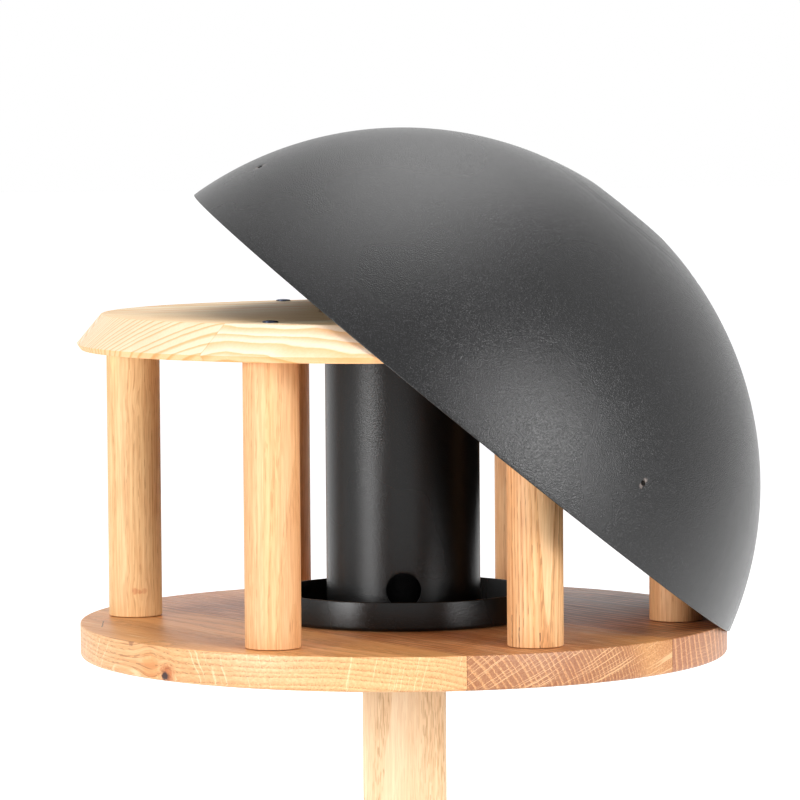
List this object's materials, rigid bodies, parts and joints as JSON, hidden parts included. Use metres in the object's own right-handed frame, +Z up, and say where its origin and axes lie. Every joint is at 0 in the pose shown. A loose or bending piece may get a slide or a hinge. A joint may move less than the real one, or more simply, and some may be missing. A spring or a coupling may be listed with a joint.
{
  "type": "bird feeder",
  "caption": "Post-mounted bird feeder: round wooden board, pillars and ring, a steel seed tube standing in a tray, and a spun steel dome roof that swivels open.",
  "frame": {"origin": "centre of the lower end face of the post", "axes": "+Z up along the post; the opened roof leans towards +X; -Y is the side seen from the front"},
  "size_m": [0.3687, 0.3729, 0.5337],
  "materials": {
    "post_oak": "bare planed oak, pale",
    "board_oak": "glued oak staves, lightly oiled",
    "pillar_oak": "turned oak, lightly oiled",
    "ring_pine": "glued pine staves, oiled, weathered top",
    "black_coat": "black satin powder coat on steel",
    "roof_coat": "anthracite fine-structure powder coat on spun steel",
    "black_steel": "blackened screw steel",
    "zinc_steel": "zinc-plated screw steel"
  },
  "bodies": {
    "stand": {"post": "post_oak", "base_board": "board_oak", "pillar_1": "pillar_oak", "pillar_2": "pillar_oak", "pillar_3": "pillar_oak", "pillar_4": "pillar_oak", "pillar_5": "pillar_oak", "pillar_6": "pillar_oak", "roof_ring": "ring_pine", "seed_tray": "black_coat", "ring_screw_1": "black_steel", "ring_screw_2": "black_steel", "ring_screw_3": "black_steel", "ring_screw_4": "black_steel", "tray_screw_1": "black_steel", "tray_screw_2": "black_steel", "tray_screw_3": "black_steel", "board_screw_1": "zinc_steel", "board_screw_2": "zinc_steel", "board_screw_3": "zinc_steel", "board_screw_4": "zinc_steel", "board_screw_5": "zinc_steel", "board_screw_6": "zinc_steel", "post_screw_1": "zinc_steel", "post_screw_2": "zinc_steel", "post_screw_3": "zinc_steel", "post_screw_4": "zinc_steel"},
    "silo": {"silo_tube": "black_coat"},
    "roof": {"dome_roof": "roof_coat"}
  },
  "joints": [
    {"name": "roof_swivel", "type": "hinge", "parent": "stand", "child": "roof", "pos_m": [0, 0, 0.34049], "axis": [-0.0175, 0.9998, 0], "range_deg": [-39.55, 0]},
    {"name": "silo_lift", "type": "slide", "parent": "stand", "child": "silo", "axis": [0, 0, 1], "range_m": [0, 0.06]}
  ]
}
